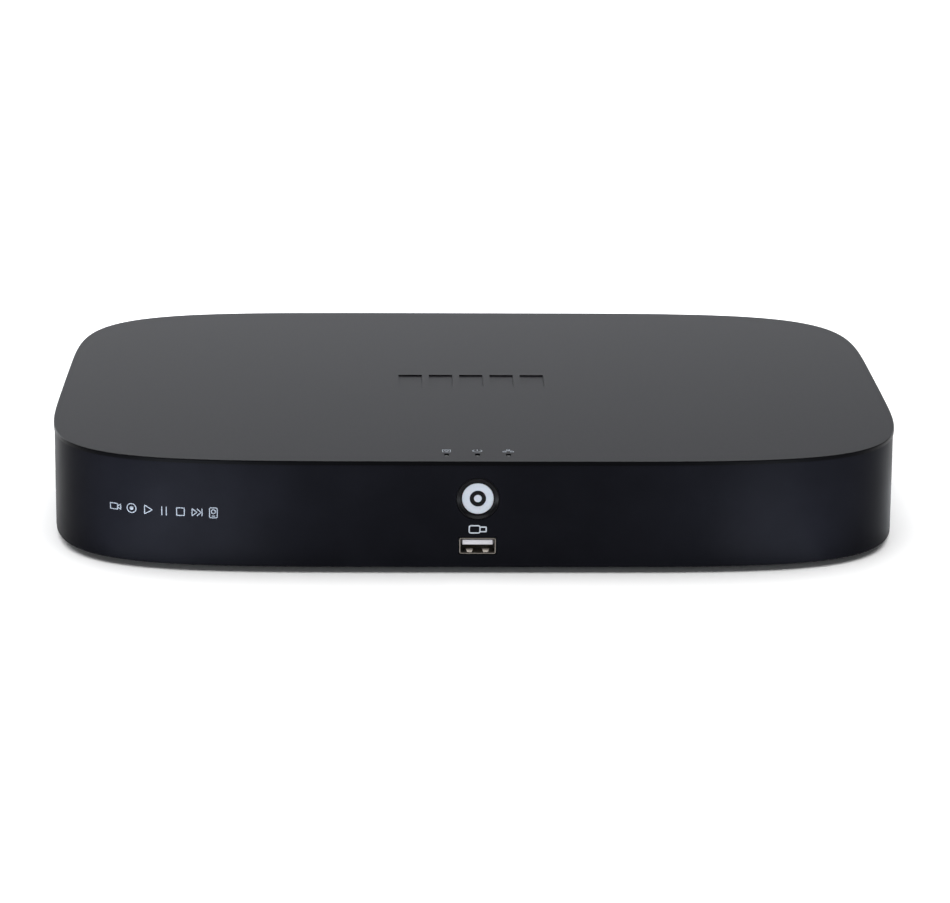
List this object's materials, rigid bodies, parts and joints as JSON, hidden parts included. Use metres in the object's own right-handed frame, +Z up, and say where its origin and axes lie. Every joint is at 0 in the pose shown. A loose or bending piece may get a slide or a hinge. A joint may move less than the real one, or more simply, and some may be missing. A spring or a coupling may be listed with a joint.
{
  "type": "video recorder",
  "caption": "Flat rounded-square video recorder with a round power button and data port in front and a recessed row of video, network and power sockets behind.",
  "frame": {"origin": "on the surface that the rubber feet stand on, under the middle of the case", "axes": "+Z up, -Y towards the front with the power button, +Y towards the sockets, +X along the width"},
  "size_m": [0.325, 0.256, 0.0431],
  "materials": {
    "lid_plastic": "fine matte texture",
    "band_plastic": "satin",
    "black_steel": "fine powder coat",
    "foot_rubber": "matte",
    "screw_steel": "zinc plated",
    "button_black": "gloss",
    "button_white": "gloss, light passes through",
    "clear_guide": "clear",
    "board_green": "solder mask",
    "chip_black": "moulded",
    "lamp_white": "moulded",
    "can_aluminium": "sleeved can",
    "sink_aluminium": "anodised",
    "fan_black": "moulded",
    "tin_shell": "tin plated",
    "nickel": "nickel plated",
    "gilt": "gilt",
    "white_plastic": "moulded",
    "black_plastic": "moulded",
    "green_plastic": "moulded",
    "blue_plastic": "moulded",
    "red_plastic": "moulded",
    "cast_aluminium": "as cast",
    "drive_steel": "brushed",
    "platter_mirror": "polished",
    "lead_red": "flexible sleeve",
    "lead_grey": "flexible sleeve"
  },
  "bodies": {
    "case": {"top_cover": "lid_plastic", "side_frame": "band_plastic", "base_plate": "black_steel", "rubber_feet": "foot_rubber", "base_screws": "screw_steel", "rear_panel": "black_steel", "front_board": "board_green", "board_screws": "screw_steel", "tact_switch_body": "chip_black", "status_lamps": "lamp_white", "light_pipes": "clear_guide", "front_port_shell": "tin_shell", "front_port_tongue": "white_plastic", "main_board": "board_green", "processor": "chip_black", "board_chips": "chip_black", "capacitors": "can_aluminium", "heat_sink": "sink_aluminium", "fan_frame": "fan_black", "fan_screws": "screw_steel", "dc_socket_housing": "black_plastic", "dc_socket_pin": "nickel", "terminal_block": "green_plastic", "terminal_screws": "screw_steel", "rear_usb_shell": "tin_shell", "rear_usb_tongues": "white_plastic", "port_contacts": "gilt", "network_socket_shell": "tin_shell", "network_socket_insert": "black_plastic", "hdmi_shell": "tin_shell", "hdmi_tongue": "black_plastic", "vga_shell": "nickel", "vga_insulator": "blue_plastic", "vga_standoffs": "nickel", "audio_housing": "black_plastic", "audio_out_core": "red_plastic", "audio_in_core": "white_plastic", "audio_sleeves": "nickel", "bnc_housings": "black_plastic", "bnc_shells": "nickel", "bnc_insulators": "white_plastic", "bnc_contacts": "gilt", "drive_casting": "cast_aluminium", "drive_cover": "drive_steel", "drive_magnets": "drive_steel", "drive_board": "board_green", "board_headers": "white_plastic", "lead_plugs": "black_plastic", "data_lead": "lead_red", "power_lead": "lead_grey", "front_lead": "lead_grey", "fan_lead": "lead_grey"},
    "power_button": {"power_button": "button_black", "button_light_guide": "button_white", "button_inner_ring": "button_black"},
    "switch_plunger": {"tact_switch_plunger": "black_plastic"},
    "fan": {"fan_rotor": "fan_black"},
    "disk_stack": {"drive_hub": "drive_steel", "drive_platters": "platter_mirror"},
    "head_arm": {"drive_arm": "cast_aluminium"}
  },
  "joints": [
    {"name": "power_button_press", "type": "slide", "parent": "case", "child": "power_button", "axis": [0, 1, 0], "range_m": [0, 0.0005], "stiffness_N_per_m": 200, "springref_m": -0.005},
    {"name": "switch_plunger_travel", "type": "slide", "parent": "case", "child": "switch_plunger", "axis": [0, 1, 0], "range_m": [0, 0.0005]},
    {"name": "fan_spin", "type": "hinge", "parent": "case", "child": "fan", "pos_m": [-0.062, 0.066, 0.0216], "axis": [0, 0, 1], "continuous": true},
    {"name": "platter_spin", "type": "hinge", "parent": "case", "child": "disk_stack", "pos_m": [0.0862, -0.0372, 0.0145], "axis": [0, 0, 1], "continuous": true},
    {"name": "head_arm_swing", "type": "hinge", "parent": "case", "child": "head_arm", "pos_m": [0.03, -0.02, 0.0145], "axis": [0, 0, 1], "range_deg": [0, 32]}
  ],
  "couplings": [
    {"joint": "switch_plunger_travel", "follows": "power_button_press", "ratio": 1}
  ]
}
